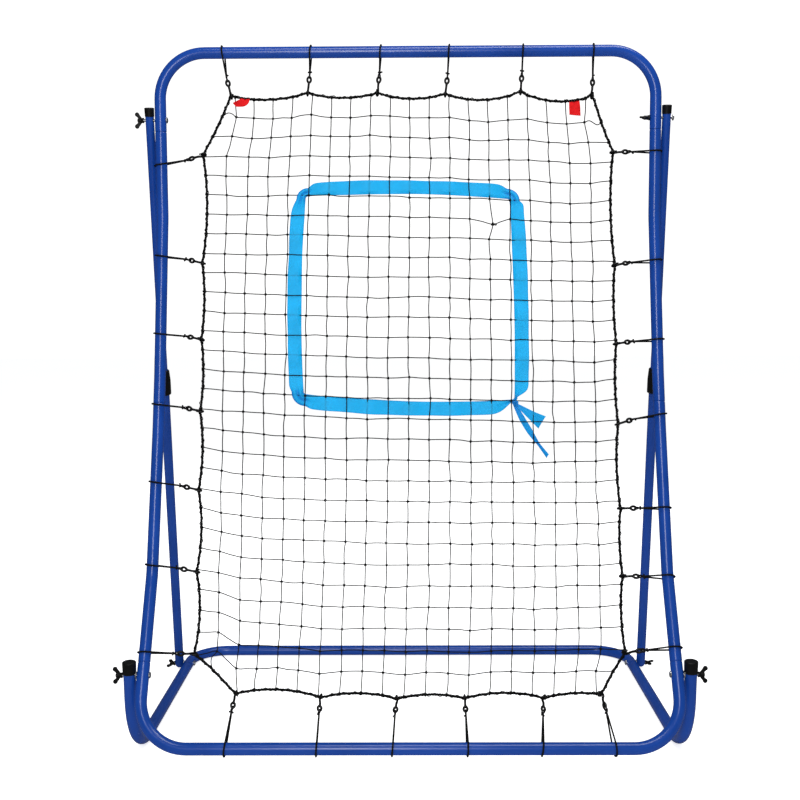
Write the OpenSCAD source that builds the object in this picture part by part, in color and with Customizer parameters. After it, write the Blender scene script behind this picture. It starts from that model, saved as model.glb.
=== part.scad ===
// Pitch back rebounder: an upright net frame on a U-shaped floor base, held at its lean by two
// telescopic rear struts, with a knotted net hung in the frame on elastic ties.
// Millimetres. +Z is up, +X is to the right, and +Y points from the frame back to the struts.
// The origin is on the floor, under the middle of the whole object.

/* [Tubes] */
// Outside diameter of the frame and base tubes
tube_od = 25.4; // [24:0.1:26]
// Wall thickness of all the steel tubes
tube_wall = 1.2; // [1:0.1:1.3]
// Length of the thinned tube end that plugs into the next tube
plug_length = 46; // [40:1:50]

/* [Net frame] */
// Distance between the centre lines of the two frame sides
frame_width = 1100; // [1080:5:1120]
// Length of a bow's legs, from the centre line of its bar to its open end
bow_leg = 171; // [168:1:175]
// Bend radius at the corners of the frame, on the centre line
corner_r = 100; // [90:5:105]
// Length of a side tube from the bow's end to its bend
short_leg = 189; // [180:1:195]
// Length of a lower side tube from its bend to the joint between the side tubes
lower_leg = 372; // [360:1:380]
// Length of an upper side tube from that joint to its bend
upper_leg = 418; // [410:1:425]
// Lean back from the vertical of the bottom bow
bottom_lean = 28.9; // [28:0.1:30]
// Lean back of the lower side tubes above their bend
lower_lean = 17.2; // [16.5:0.1:18]
// Lean back of the plug joint between the side tubes
joint_lean = 14.2; // [13.5:0.1:15]
// Lean back of the upper side tubes below their bend
upper_lean = 11.1; // [10.5:0.1:12]
// Lean back of the top bow
top_lean = 0.8; // [0.5:0.1:1.5]
// Distance from the joint between the side tubes to the slight bend on each side of it
slight_bend_at = 60; // [55:1:70]

/* [Base] */
// Height of the lower pivots above the floor
pivot_height = 193.5; // [190:0.5:197]
// Distance from the lower pivots back to the centre line of the rear bar
base_reach = 699; // [690:1:705]
// Distance from the lower pivots back to the rear bolts
rear_bolt_reach = 597; // [590:1:600]
// Gap between a frame side and the base upright beside it
side_gap = 2.4; // [2.4:0.1:2.6]
// Bend radius at the front of the base side tubes, on the centre line
front_bend_r = 135; // [125:1:140]
// Lean forward of the base uprights
upright_lean = 3; // [1:0.5:4]

/* [Struts] */
// Outside diameter of a strut's lower tube
outer_strut_od = 22.2; // [22:0.1:22.4]
// Outside diameter of a strut's upper tube
inner_strut_od = 19.05; // [18.9:0.05:19.1]
// Length of the lower tube above the rear bolt
outer_strut_length = 780; // [760:5:800]
// Length of the upper tube that is inside the lower tube at rest
strut_overlap = 220; // [200:5:240]
// Distance from a bow's open end to the frame bolt through the plug joint in it
bolt_from_seam = 25; // [22:1:27]
// Diameter of the slack hole in the top of a strut, where the linkage is left open
slack_hole_d = 11.2; // [11:0.1:11.6]

/* [Net] */
// Radius of the net's backward belly, seen from the side
belly_r = 8400; // [8000:100:9000]
// Height of the net's bottom edge
net_bottom = 143; // [138:1:150]
// Height of the net's top edge
net_top = 1409; // [1404:1:1412]
// Distance of the net's bottom edge behind the lower pivots
net_bottom_y = 29; // [26:1:32]
// Distance of the net's top edge behind the lower pivots
net_top_y = 293; // [290:1:296]
// Distance from the middle to the net's side edges
net_half_width = 453; // [450:1:456]
// Diameter of the border rope
rope_d = 6; // [5:0.5:7]
// Outer width of the square target
target_width = 526; // [516:2:536]
// Height of the target's lower edge
target_bottom = 711; // [705:1:715]
// Height of the target's upper edge
target_top = 1224; // [1215:1:1230]
// Width of the target's ribbon
ribbon_width = 34; // [30:1:38]

/* [Ties] */
// Diameter of the elastic cord
cord_d = 3; // [2.5:0.5:3.5]
// Places of the top ties along the top bar
top_ties = [-411, -213, -58, 93, 256, 411]; // [-440:1:440]
// Places of the top ties along the top rope
top_rope_ties = [-391, -221, -67, 84, 250, 408]; // [-440:1:440]
// Places of the bottom ties along the bottom bar
bottom_ties = [-373, -188, -36, 116, 264, 413]; // [-440:1:440]
// Places of the bottom ties along the bottom rope
bottom_rope_ties = [-364, -186, -27, 115, 280, 399]; // [-440:1:440]
// Heights of the left ties on the frame, from the bottom up
left_ties = [234, 400, 571, 736, 890, 1063, 1260]; // [230:1:1290]
// Heights of the left ties on the rope
left_rope_ties = [221, 386, 555, 722, 877, 1043, 1282]; // [200:1:1300]
// Heights of the right ties on the frame, from the bottom up
right_ties = [241, 372, 512, 711, 872, 1047, 1287]; // [230:1:1290]
// Heights of the right ties on the rope
right_rope_ties = [223, 376, 515, 692, 864, 1035, 1283]; // [200:1:1300]

/* [Fasteners] */
// Diameter of the bolts
bolt_d = 6.1; // [6:0.05:6.15]
// Diameter of the bolts' domed heads
head_d = 13; // [12:0.5:14]
// Span of a wing nut's two wings
wing_span = 36; // [34:1:38]
// Height of a wing nut along its bolt
wing_height = 20; // [19:1:21]

/* [Hidden] */
$fn = 48;

LEFT = -1;
RIGHT = 1;
BLUE = [0.12, 0.26, 0.62];
STEEL = [0.75, 0.76, 0.78];
BLACK = [0.06, 0.06, 0.06];

fit = 0.05;                    // radial clearance of parts that slide or turn in each other
bend_draw = 0.05;              // a bend is drawn thinner than the straight tube by this much
bend_lap = 1;                  // length that a bend laps into the straights beside it
plug_taper = 3;                // length of the cone between a tube and its thinned end
kink_r = 80;                   // radius of the bends in the side tubes
slight_r = 400;                // radius of the slight bends beside the side tubes' joint
rear_corner_r = 92;            // radius of the rear bow's corners
rear_plug_length = 34;         // shorter than the others, to stop before the rear bow's bend
strut_gap = 2.1;               // gap between a strut's top and the frame, which clears its cap

tube_r = tube_od / 2;
bore_r = tube_r - tube_wall;
plug_r = bore_r - fit;
half_frame = frame_width / 2;
base_x = half_frame + tube_od + side_gap;
floor_axis = tube_r;           // height of the base tubes' centre line
outer_r = outer_strut_od / 2;
inner_r = inner_strut_od / 2;

// The object reaches from the cord loops on the bottom bar to the back of the rear bar, and the
// origin is half way between them.
cord_gap = 0.7;                // clearance of the cord loops round the tubes
bar_drop = bow_leg - bolt_from_seam;
front_extent = bar_drop * sin(bottom_lean) + tube_r + cord_gap + cord_d;
rear_extent = base_reach + tube_r;
pivot = [(front_extent - rear_extent) / 2, pivot_height];

// Corner points of the frame's side profile as [y, z]
function step_up(from, length, lean) = from + length * [sin(lean), cos(lean)];
bottom_bar = step_up(pivot, -bar_drop, bottom_lean);
lower_seam = step_up(pivot, bolt_from_seam, bottom_lean);
lower_kink = step_up(lower_seam, short_leg, bottom_lean);
lower_slight = step_up(lower_kink, lower_leg - slight_bend_at, lower_lean);
mid_joint = step_up(lower_slight, slight_bend_at, joint_lean);
upper_slight = step_up(mid_joint, slight_bend_at, joint_lean);
upper_kink = step_up(upper_slight, upper_leg - slight_bend_at, upper_lean);
upper_seam = step_up(upper_kink, short_leg, top_lean);
top_pivot = step_up(upper_seam, bolt_from_seam, top_lean);
top_bar = step_up(upper_seam, bow_leg, top_lean);
profile = [
  bottom_bar, lower_kink, lower_slight, mid_joint, upper_slight, upper_kink, top_bar
];

// Struts, from the rear bolt to the top pivot on the right side
strut_foot = [base_x + tube_r + 1 + outer_r, pivot[0] + rear_bolt_reach, floor_axis];
strut_head = [half_frame + tube_r + strut_gap + inner_r, top_pivot[0], top_pivot[1]];
strut_run = strut_head - strut_foot;
strut_length = norm(strut_run);
strut_tilt = atan2(-strut_run[1], strut_run[2]);
strut_skew = asin(strut_run[0] / strut_length);

// Net surface: part of a large cylinder along X, hollow towards the front
net_low = [pivot[0] + net_bottom_y, net_bottom];
net_high = [pivot[0] + net_top_y, net_top];
net_chord = net_high - net_low;
net_normal = [net_chord[1], -net_chord[0]] / norm(net_chord);
belly_rise = belly_r - sqrt(belly_r * belly_r - pow(norm(net_chord) / 2, 2));
belly_axis = (net_low + net_high) / 2 + net_normal * (belly_rise - belly_r);
net_thick = 1;

function net_y(z) = belly_axis[0] + sqrt(pow(belly_r, 2) - pow(z - belly_axis[1], 2));
function net_angle(z) = asin((z - belly_axis[1]) / belly_r);
function on_net(x, z) = [x, net_y(z), z];

// The frame's centre line at a height, and the lean of the tube there
function lean_at(z, i = 0) =
  z <= profile[i + 1][1] || i == len(profile) - 2
  ? atan2(profile[i + 1][0] - profile[i][0], profile[i + 1][1] - profile[i][1])
  : lean_at(z, i + 1);
function frame_y(z, i = 0) =
  z <= profile[i + 1][1] || i == len(profile) - 2
  ? profile[i][0] + (z - profile[i][1]) * tan(lean_at(z))
  : frame_y(z, i + 1);

// Every tie as [point on the tube's centre line, point on the rope, direction inwards from the
// tube, turn that lays the tube's axis along the tie's loop]
function bar_tie(x, bar, rope_x, z) = [
  [x, bar[0], bar[1]], on_net(rope_x, z), [0, 0, sign(z - bar[1])], [0, 90, 0]
];
function side_tie(side, z, rope_z) = [
  [side * half_frame, frame_y(z), z], on_net(side * net_half_width, rope_z), [-side, 0, 0],
  [-lean_at(z), 0, 0]
];
TOP_TIES = [
  for (i = [0 : len(top_ties) - 1]) bar_tie(top_ties[i], top_bar, top_rope_ties[i], net_top)
];
BOTTOM_TIES = [
  for (i = [0 : len(bottom_ties) - 1])
    bar_tie(bottom_ties[i], bottom_bar, bottom_rope_ties[i], net_bottom)
];
LEFT_TIES = [
  for (i = [0 : len(left_ties) - 1]) side_tie(LEFT, left_ties[i], left_rope_ties[i])
];
RIGHT_TIES = [
  for (i = [0 : len(right_ties) - 1]) side_tie(RIGHT, right_ties[i], right_rope_ties[i])
];
ALL_TIES = concat(TOP_TIES, BOTTOM_TIES, LEFT_TIES, RIGHT_TIES);

function reversed(list) = [for (i = [len(list) - 1 : -1 : 0]) list[i]];
ROPE_POINTS = concat(
  [for (t = TOP_TIES) t[1]], reversed([for (t = RIGHT_TIES) t[1]]),
  reversed([for (t = BOTTOM_TIES) t[1]]), [for (t = LEFT_TIES) t[1]]
);

// ---------- Tubes ----------

// Cross-section of a tube, or of a rod when inner is 0
module ring(outer, inner) {
  difference() {
    circle(outer);
    if (inner > 0) circle(inner);
  }
}

// One bend, from the origin heading along +X and turning left
module bend(outer, inner, bend_r, turn) {
  lap_turn = bend_lap / bend_r * 180 / PI;
  translate([0, bend_r, 0])
    rotate([0, 0, -90 - lap_turn])
      rotate_extrude(angle = turn + 2 * lap_turn)
        translate([bend_r, 0]) ring(outer - bend_draw, inner > 0 ? inner + bend_draw : 0);
}

// A bent tube in the XY plane that starts along +X. Each step is [straight length, left turn,
// bend radius]. Children are drawn at its far end.
module bent_tube(steps, outer, inner, i = 0) {
  if (i < len(steps)) {
    turn = steps[i][1];
    bend_r = sign(turn) * steps[i][2];
    rotate([0, 90, 0]) linear_extrude(steps[i][0]) ring(outer, inner);
    translate([steps[i][0], 0, 0]) {
      if (turn != 0)
        rotate([turn < 0 ? 180 : 0, 0, 0]) bend(outer, inner, steps[i][2], abs(turn));
      translate([0, bend_r, 0]) rotate([0, 0, turn]) translate([0, -bend_r, 0])
        bent_tube(steps, outer, inner, i + 1) children();
    }
  } else {
    children();
  }
}

function tangent(turn, bend_r) = bend_r * tan(abs(turn) / 2);

// Thinned tube end along +X: a cone down to the plug, then the plug itself
module plug(length) {
  wall_in = bore_r - tube_wall;
  rotate([0, 90, 0]) rotate_extrude()
    polygon([
      [bore_r, -plug_taper - 1], [tube_r - bend_draw, -plug_taper - 1],
      [tube_r - bend_draw, -plug_taper], [plug_r, 0], [plug_r, length],
      [wall_in, length], [wall_in, 0], [bore_r, -plug_taper]
    ]);
}

// Puts a path that was drawn in the XY plane in the YZ plane, starting at a [y, z] point
module in_side_plane(x, start, heading) {
  translate([x, start[0], start[1]]) rotate([90, 0, 90]) rotate([0, 0, heading]) children();
}

// A hole across X
module cross_hole(x, point, d) {
  translate([x, point[0], point[1]]) rotate([0, 90, 0]) cylinder(d = d, h = 70, center = true);
}

module bow(bar, lean) {
  leg = bow_leg - corner_r;
  translate([-half_frame, bar[0], bar[1]])
    rotate([90 - lean, 0, 0])
      translate([0, -bow_leg, 0])
        rotate([0, 0, 90])
          bent_tube(
            [[leg, -90, corner_r], [frame_width - 2 * corner_r, -90, corner_r], [leg, 0, 1]],
            tube_r, bore_r
          );
}

module top_bow() {
  color(BLUE) difference() {
    bow(top_bar, top_lean);
    for (x = [-half_frame, half_frame]) cross_hole(x, top_pivot, bolt_d + 2 * fit);
  }
}

module bottom_bow() {
  color(BLUE) difference() {
    bow(bottom_bar, bottom_lean + 180);
    for (x = [-half_frame, half_frame]) cross_hole(x, pivot, bolt_d + 2 * fit);
  }
}

module upper_side_tube(side) {
  kink = upper_lean - top_lean;
  slight = joint_lean - upper_lean;
  first = slight_bend_at - tangent(slight, slight_r);
  second = upper_leg - slight_bend_at - tangent(slight, slight_r) - tangent(kink, kink_r);
  third = short_leg - plug_taper - tangent(kink, kink_r);
  color(BLUE) difference() {
    in_side_plane(side * half_frame, mid_joint, 90 - joint_lean)
      bent_tube([[first, slight, slight_r], [second, kink, kink_r], [third, 0, 1]], tube_r, bore_r)
        translate([plug_taper, 0, 0]) plug(plug_length);
    cross_hole(side * half_frame, top_pivot, bolt_d + 2 * fit);
  }
}

module lower_side_tube(side) {
  kink = bottom_lean - lower_lean;
  slight = lower_lean - joint_lean;
  first = short_leg - plug_taper - tangent(kink, kink_r);
  second = lower_leg - slight_bend_at - tangent(slight, slight_r) - tangent(kink, kink_r);
  third = slight_bend_at - plug_taper - tangent(slight, slight_r);
  start = step_up(lower_seam, plug_taper, bottom_lean);
  color(BLUE) difference() {
    in_side_plane(side * half_frame, start, 90 - bottom_lean) {
      bent_tube([[first, kink, kink_r], [second, slight, slight_r], [third, 0, 1]], tube_r, bore_r)
        translate([plug_taper, 0, 0]) plug(plug_length);
      rotate([0, 0, 180]) translate([plug_taper, 0, 0]) plug(plug_length);
    }
    cross_hole(side * half_frame, pivot, bolt_d + 2 * fit);
  }
}

module base_side_tube(side) {
  turn = 90 - upright_lean;
  corner_y = pivot[0] + (pivot_height - floor_axis) * tan(upright_lean);
  seam_y = strut_foot[1] - 26;
  back = tangent(turn, front_bend_r);
  above_pivot = base_cap_above + base_cap_depth - 2 * fit;
  rise = (pivot_height - floor_axis) / cos(upright_lean) - back + above_pivot;
  color(BLUE) difference() {
    in_side_plane(side * base_x, [seam_y - plug_taper, floor_axis], 180) {
      bent_tube(
        [[seam_y - plug_taper - corner_y - back, -turn, front_bend_r], [rise, 0, 1]], tube_r, bore_r
      );
      rotate([0, 0, 180]) translate([plug_taper, 0, 0]) plug(rear_plug_length);
    }
    cross_hole(side * base_x, pivot, bolt_d + 2 * fit);
    cross_hole(side * base_x, [strut_foot[1], floor_axis], bolt_d + 2 * fit);
  }
}

module base_rear_bow() {
  seam_y = strut_foot[1] - 26;
  leg = pivot[0] + base_reach - seam_y - rear_corner_r;
  color(BLUE) difference() {
    translate([base_x, seam_y, floor_axis]) rotate([0, 0, 90])
      bent_tube(
        [[leg, 90, rear_corner_r], [2 * (base_x - rear_corner_r), 90, rear_corner_r], [leg, 0, 1]],
        tube_r, bore_r
      );
    for (x = [-base_x, base_x])
      cross_hole(x, [strut_foot[1], floor_axis], bolt_d + 2 * fit);
  }
}

// ---------- Caps ----------

base_cap_above = 3.6;          // height of a base cap's rim above the lower pivot bolt
base_cap_wall = 1.65;
base_cap_depth = 22.5;
strut_cap_above = 8.5;         // height of a strut cap's rim above the top bolt
strut_cap_wall = 1.3;
strut_cap_depth = 16;
cap_roof = 3;

// Round end cap with its rim at z = 0, slightly wider at the top, with a softened top edge
module end_cap(tube, wall, depth) {
  outer = tube + wall;
  height = depth + cap_roof;
  rim_in = 0.5;
  round_r = 2;
  rotate_extrude() difference() {
    union() {
      polygon([
        [0, 0], [outer - rim_in, 0], [outer, height - round_r], [0, height - round_r]
      ]);
      square([outer - round_r, height]);
      translate([outer - round_r, height - round_r]) intersection() {
        circle(round_r);
        square(round_r);
      }
    }
    square([tube + fit, depth]);
  }
}

module base_cap(side) {
  color(BLACK)
    in_side_plane(side * base_x, pivot, 90 + upright_lean)
      translate([base_cap_above, 0, 0]) rotate([0, 90, 0])
        end_cap(tube_r, base_cap_wall, base_cap_depth);
}

// ---------- Fasteners ----------

head_height = 4;
hub_r = 6;
spacer_d = 15;

// Domed head and plain shank along +X. The head's flat face is at x = 0.
module bolt(length) {
  color(STEEL) rotate([0, 90, 0]) rotate_extrude() {
    square([bolt_d / 2, length]);
    translate([0, -head_height]) intersection() {
      translate([0, head_d]) circle(head_d);
      square([head_d / 2, head_height]);
    }
    translate([0, -1]) square([head_d / 2, 1]);
  }
}

// Wing nut along +X with its seat at x = 0: a slim hub and two arms that spread out and away to
// round lobes. Roll turns its wings about the bolt.
module wing_nut(roll) {
  lobe_r = 4.8;
  lobe = [wing_span / 2 - lobe_r, wing_height - lobe_r];
  arm = 2.9;
  wing_thick = 4.2;
  bore_depth = 13;
  color(BLACK) rotate([0, 90, 0]) rotate([0, 0, roll]) difference() {
    union() {
      rotate_extrude() polygon([[0, 0], [hub_r, 0], [hub_r, 2.5], [4.7, 5], [4.7, 13.5], [0, 15]]);
      for (flip = [0, 180]) rotate([0, 0, flip])
        rotate([90, 0, 0]) translate([0, 0, -wing_thick / 2]) linear_extrude(wing_thick) {
          translate(lobe) circle(lobe_r);
          polygon([[3.5, 3], [lobe[0] + arm, lobe[1] - arm], [lobe[0] - arm, lobe[1] + arm], [3.5, 11.5]]);
        }
    }
    translate([0, 0, -1]) cylinder(d = bolt_d + 2 * fit, h = bore_depth);
  }
}

module spacer(thick) {
  color(STEEL) rotate([0, 90, 0]) difference() {
    cylinder(d = spacer_d, h = thick);
    translate([0, 0, -1]) cylinder(d = bolt_d + 2 * fit, h = thick + 2);
  }
}

module at_side(side, x, point) {
  translate([side * x, point[0], point[1]]) rotate([0, 0, side < 0 ? 180 : 0]) children();
}

rear_point = [strut_foot[1], floor_axis];
shank_in_nut = 10;
pivot_seat = base_x + tube_r + base_cap_wall + 2 * fit;
rear_seat = strut_foot[0] + outer_r + 3 * fit;
strut_drift = 3.5;             // outward travel of a strut's top as it shortens
top_seat = strut_head[0] + inner_r + strut_drift;

module pivot_bolt(side) {
  head_x = half_frame - tube_r - fit;
  at_side(side, head_x, pivot) bolt(pivot_seat - head_x + shank_in_nut);
}

module rear_bolt(side) {
  head_x = base_x - tube_r - fit;
  at_side(side, head_x, rear_point) bolt(rear_seat - head_x + shank_in_nut);
}

// The left top bolt has its head inside the frame, and the right one outside the strut
module top_bolt(side) {
  inner_x = half_frame - tube_r - fit;
  length = top_seat - inner_x + shank_in_nut;
  if (side == LEFT) at_side(LEFT, inner_x, top_pivot) bolt(length);
  else translate([top_seat, top_pivot[0], top_pivot[1]]) rotate([0, 0, 180]) bolt(length);
}

module pivot_spacer(side) {
  at_side(side, half_frame + tube_r + fit, pivot) spacer(side_gap - 2 * fit);
}

module rear_spacer(side) {
  at_side(side, base_x + tube_r + fit, rear_point) spacer(1 - 4 * fit);
}

module top_wing_nut(side) {
  if (side == LEFT) at_side(LEFT, top_seat, top_pivot) wing_nut(5);
  else translate([half_frame - tube_r - fit, top_pivot[0], top_pivot[1]])
    rotate([0, 0, 180]) wing_nut(77);
}

module pivot_wing_nut(side) {
  at_side(side, pivot_seat, pivot) wing_nut(0);
}

module rear_wing_nut(side) {
  at_side(side, rear_seat, rear_point) wing_nut(side == LEFT ? 80 : 55);
}

// ---------- Struts ----------

collet_above = 16;             // height of the collet above the lower tube
collar_below = 40;             // length of the collar below the lower tube's end
collar_r = 15.5;
collar_length = 61;

// Origin at the rear bolt and +Z along the strut
module on_strut(side) {
  translate([side * strut_foot[0], strut_foot[1], strut_foot[2]])
    rotate([strut_tilt, 0, 0]) rotate([0, side * strut_skew, 0]) children();
}

module strut_outer_tube(side) {
  color(BLUE) difference() {
    on_strut(side) rotate_extrude() difference() {
      union() {
        square([outer_r, outer_strut_length]);
        intersection() {
          circle(outer_r);
          translate([0, -outer_r]) square(outer_r);
        }
      }
      square([outer_r - tube_wall, outer_strut_length]);
      intersection() {
        circle(outer_r - tube_wall);
        translate([0, -outer_r]) square(outer_r);
      }
    }
    cross_hole(side * strut_foot[0], rear_point, bolt_d + 2 * fit);
  }
}

module strut_inner_tube(side) {
  start = outer_strut_length - strut_overlap;
  color(BLUE) difference() {
    on_strut(side) translate([0, 0, start])
      linear_extrude(strut_length + strut_cap_above + strut_cap_depth - 2 * fit - start)
        ring(inner_r, inner_r - tube_wall);
    cross_hole(side * strut_head[0], top_pivot, slack_hole_d);
  }
}

module strut_collet(side) {
  color(BLACK) on_strut(side) translate([0, 0, outer_strut_length + fit])
    linear_extrude(collet_above) ring(outer_r, inner_r + fit);
}

module twist_collar(side) {
  edge_r = 3;
  lip = 4;
  bore = outer_r + 2 * fit;
  color(BLACK) on_strut(side) translate([0, 0, outer_strut_length - collar_below]) {
    rotate_extrude() difference() {
      union() {
        translate([0, edge_r]) square([collar_r, 32]);
        square([collar_r - edge_r, edge_r]);
        translate([collar_r - edge_r, edge_r]) intersection() {
          circle(edge_r);
          translate([0, -edge_r]) square(edge_r);
        }
        polygon([
          [0, 35], [collar_r, 35], [13.4, collar_length - 1.5], [12, collar_length],
          [0, collar_length]
        ]);
      }
      square([bore, collar_length - lip]);
      square([inner_r + 6 * fit, collar_length + 1]);
    }
    // Small button half way up, on the outer side
    translate([side * (collar_r - 2), 0, 30]) rotate([0, side * 90, 0]) cylinder(r = 4, h = 4);
  }
}

module strut_cap(side) {
  color(BLACK) on_strut(side) translate([0, 0, strut_length + strut_cap_above])
    end_cap(inner_r, strut_cap_wall, strut_cap_depth);
}

// ---------- Net and what is sewn or tied to it ----------

// A curved sheet on the net surface between two heights, with its face nearest the front at
// depth in front of the surface
module net_sheet(x_low, x_high, z_low, z_high, depth, thick) {
  translate([0, belly_axis[0], belly_axis[1]]) rotate([90, 0, 90])
    rotate([0, 0, net_angle(z_low)])
      rotate_extrude(angle = net_angle(z_high) - net_angle(z_low), $fn = 720)
        translate([belly_r - depth, x_low]) square([thick, x_high - x_low]);
}

// Turns +Z to a direction
module aim(run) {
  rotate([0, acos(run[2] / norm(run)), atan2(run[1], run[0])]) children();
}

// Straight rod between two points
module rod(from, to, d, gap_from = 0, gap_to = 0) {
  translate(from) aim(to - from)
    translate([0, 0, gap_from]) cylinder(d = d, h = norm(to - from) - gap_from - gap_to);
}

rope_clear = rope_d / 2 + 10;
rope_knot_d = rope_d + 3;      // lashing knot at every tie

module net_mesh() {
  low = net_bottom + rope_clear;
  high = net_top - rope_clear;
  side = net_half_width - rope_clear;
  corner_z = 80;
  low_x = 380;
  high_x = 400;
  color([0.1, 0.1, 0.1, 0.4]) intersection() {
    net_sheet(-side, side, low, high, net_thick / 2, net_thick);
    translate([0, pivot[0] + 400, 0]) rotate([90, 0, 0]) linear_extrude(500)
      polygon([
        [-low_x + 40, low], [low_x - 40, low], [side, low + corner_z + 10],
        [side, high - corner_z - 60], [high_x - 30, high], [-high_x + 30, high],
        [-side, high - corner_z - 60], [-side, low + corner_z + 10]
      ]);
  }
}

function unit(run) = run / norm(run);

// Straight runs of rope with a lashing knot, round like a bead on the rope, at every tie
module border_rope() {
  count = len(ROPE_POINTS);
  color(BLACK) for (i = [0 : count - 1]) {
    here = ROPE_POINTS[i];
    before = ROPE_POINTS[(i + count - 1) % count];
    after = ROPE_POINTS[(i + 1) % count];
    rod(here, after, rope_d, 1, 1);
    translate(here) aim(unit(here - before) + unit(after - here)) sphere(d = rope_knot_d);
  }
}

ribbon_depth = 2.6;
ribbon_thick = 1.2;
knot = [233, target_bottom + 26];

module target_ribbon() {
  half = target_width / 2;
  lean = atan2(net_y(knot[1]) - net_y(knot[1] - 100), 100);
  color([0.1, 0.6, 0.9]) {
    difference() {
      net_sheet(-half, half, target_bottom, target_top, ribbon_depth, ribbon_thick);
      net_sheet(
        ribbon_width - half, half - ribbon_width, target_bottom + ribbon_width,
        target_top - ribbon_width, ribbon_depth + 5, 10
      );
    }
    // Knot and the two loose ends that hang from it
    translate([knot[0], net_y(knot[1]) - ribbon_depth, knot[1]]) rotate([-lean, 0, 0]) {
      translate([0, 0.6, 0]) rotate([90, 0, 0]) cylinder(r = 9, h = 9);
      translate([0, -4, 0]) rotate([90, 0, 0]) linear_extrude(ribbon_thick) {
        polygon([[0, 6], [68, -20], [60, -52], [-4, -6]]);
        polygon([[-6, 0], [58, -108], [78, -104], [6, 4]]);
      }
    }
  }
}

module net_tag(side) {
  width = 27;
  drop = side == LEFT ? 20 : 31;
  x = side == LEFT ? -370 : 368;
  high = net_top - rope_clear + 5;
  color([0.8, 0.1, 0.1]) net_sheet(x - width / 2, x + width / 2, high - drop, high, 2.6, 1.2);
}

// ---------- Elastic ties ----------

loop_r = tube_r + cord_gap + cord_d / 2;
strand_d = 2.4;                // both strands of a tie, drawn as one, slimmer than the loop
strand_share = 0.52;           // how far along from the loop to the rope a crimp starts
crimp_d = 6;
crimp_length = 9;
hook_d = 7;

function tie_start(tie) = tie[0] + loop_r * tie[2];

// Loop round the tube and its two strands, drawn as one cord, up to the crimp
module cord(tie) {
  from = tie_start(tie);
  length = norm(tie[1] - from);
  color(BLACK) {
    translate(tie[0]) rotate(tie[3]) rotate_extrude() translate([loop_r, 0]) circle(d = cord_d);
    rod(from, tie[1], strand_d, 0, length * (1 - strand_share));
  }
}

module crimp(tie) {
  from = tie_start(tie);
  length = norm(tie[1] - from);
  start = length * strand_share + fit;
  color(STEEL) rod(from, tie[1], crimp_d, start, length - start - crimp_length);
}

module hook(tie) {
  from = tie_start(tie);
  start = norm(tie[1] - from) * strand_share + crimp_length + 2 * fit;
  color(BLACK) rod(from, tie[1], hook_d, start, rope_knot_d / 2 + 2 * fit);
}

top_bow();
upper_side_tube(LEFT);  // upper_side_tube_left
upper_side_tube(RIGHT);  // upper_side_tube_right
lower_side_tube(LEFT);  // lower_side_tube_left
lower_side_tube(RIGHT);  // lower_side_tube_right
bottom_bow();
net_mesh();
border_rope();
target_ribbon();
net_tag(LEFT);  // net_tag_left
net_tag(RIGHT);  // net_tag_right
for (t = TOP_TIES) cord(t);  // elastic_cords_top
for (t = BOTTOM_TIES) cord(t);  // elastic_cords_bottom
for (t = LEFT_TIES) cord(t);  // elastic_cords_left
for (t = RIGHT_TIES) cord(t);  // elastic_cords_right
for (t = ALL_TIES) crimp(t);  // cord_crimps
for (t = ALL_TIES) hook(t);  // cord_hooks
top_bolt(LEFT);  // top_bolt_left
top_bolt(RIGHT);  // top_bolt_right
base_rear_bow();
base_side_tube(LEFT);  // base_side_tube_left
base_side_tube(RIGHT);  // base_side_tube_right
base_cap(LEFT);  // base_cap_left
base_cap(RIGHT);  // base_cap_right
pivot_bolt(LEFT);  // pivot_bolt_left
pivot_bolt(RIGHT);  // pivot_bolt_right
pivot_spacer(LEFT);  // pivot_spacer_left
pivot_spacer(RIGHT);  // pivot_spacer_right
rear_bolt(LEFT);  // rear_bolt_left
rear_bolt(RIGHT);  // rear_bolt_right
rear_spacer(LEFT);  // rear_spacer_left
rear_spacer(RIGHT);  // rear_spacer_right
strut_outer_tube(LEFT);  // strut_outer_tube_left
strut_outer_tube(RIGHT);  // strut_outer_tube_right
strut_collet(LEFT);  // strut_collet_left
strut_collet(RIGHT);  // strut_collet_right
twist_collar(LEFT);  // twist_collar_left
twist_collar(RIGHT);  // twist_collar_right
strut_inner_tube(LEFT);  // strut_inner_tube_left
strut_inner_tube(RIGHT);  // strut_inner_tube_right
strut_cap(LEFT);  // strut_cap_left
strut_cap(RIGHT);  // strut_cap_right
top_wing_nut(LEFT);  // top_wing_nut_left
top_wing_nut(RIGHT);  // top_wing_nut_right
pivot_wing_nut(LEFT);  // pivot_wing_nut_left
pivot_wing_nut(RIGHT);  // pivot_wing_nut_right
rear_wing_nut(LEFT);  // rear_wing_nut_left
rear_wing_nut(RIGHT);  // rear_wing_nut_right
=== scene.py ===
# Looks of a pitch back rebounder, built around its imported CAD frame. Metres, in the frame's axes.
import math

import bpy
import numpy as np
from mathutils import Matrix, Vector


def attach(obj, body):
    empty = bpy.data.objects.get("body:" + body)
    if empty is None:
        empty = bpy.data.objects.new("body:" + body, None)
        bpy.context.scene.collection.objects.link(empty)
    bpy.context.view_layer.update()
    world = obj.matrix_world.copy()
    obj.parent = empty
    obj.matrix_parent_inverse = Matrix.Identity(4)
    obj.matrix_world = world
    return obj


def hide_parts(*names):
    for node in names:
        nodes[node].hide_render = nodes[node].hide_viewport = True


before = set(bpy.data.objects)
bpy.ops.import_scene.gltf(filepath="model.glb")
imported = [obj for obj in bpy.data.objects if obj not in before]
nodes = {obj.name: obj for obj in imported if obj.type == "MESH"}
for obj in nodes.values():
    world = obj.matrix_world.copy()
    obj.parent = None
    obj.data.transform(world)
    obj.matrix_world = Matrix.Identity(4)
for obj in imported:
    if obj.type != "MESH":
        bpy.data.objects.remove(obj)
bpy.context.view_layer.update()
rng = np.random.default_rng(11)
MM = 0.001

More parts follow.
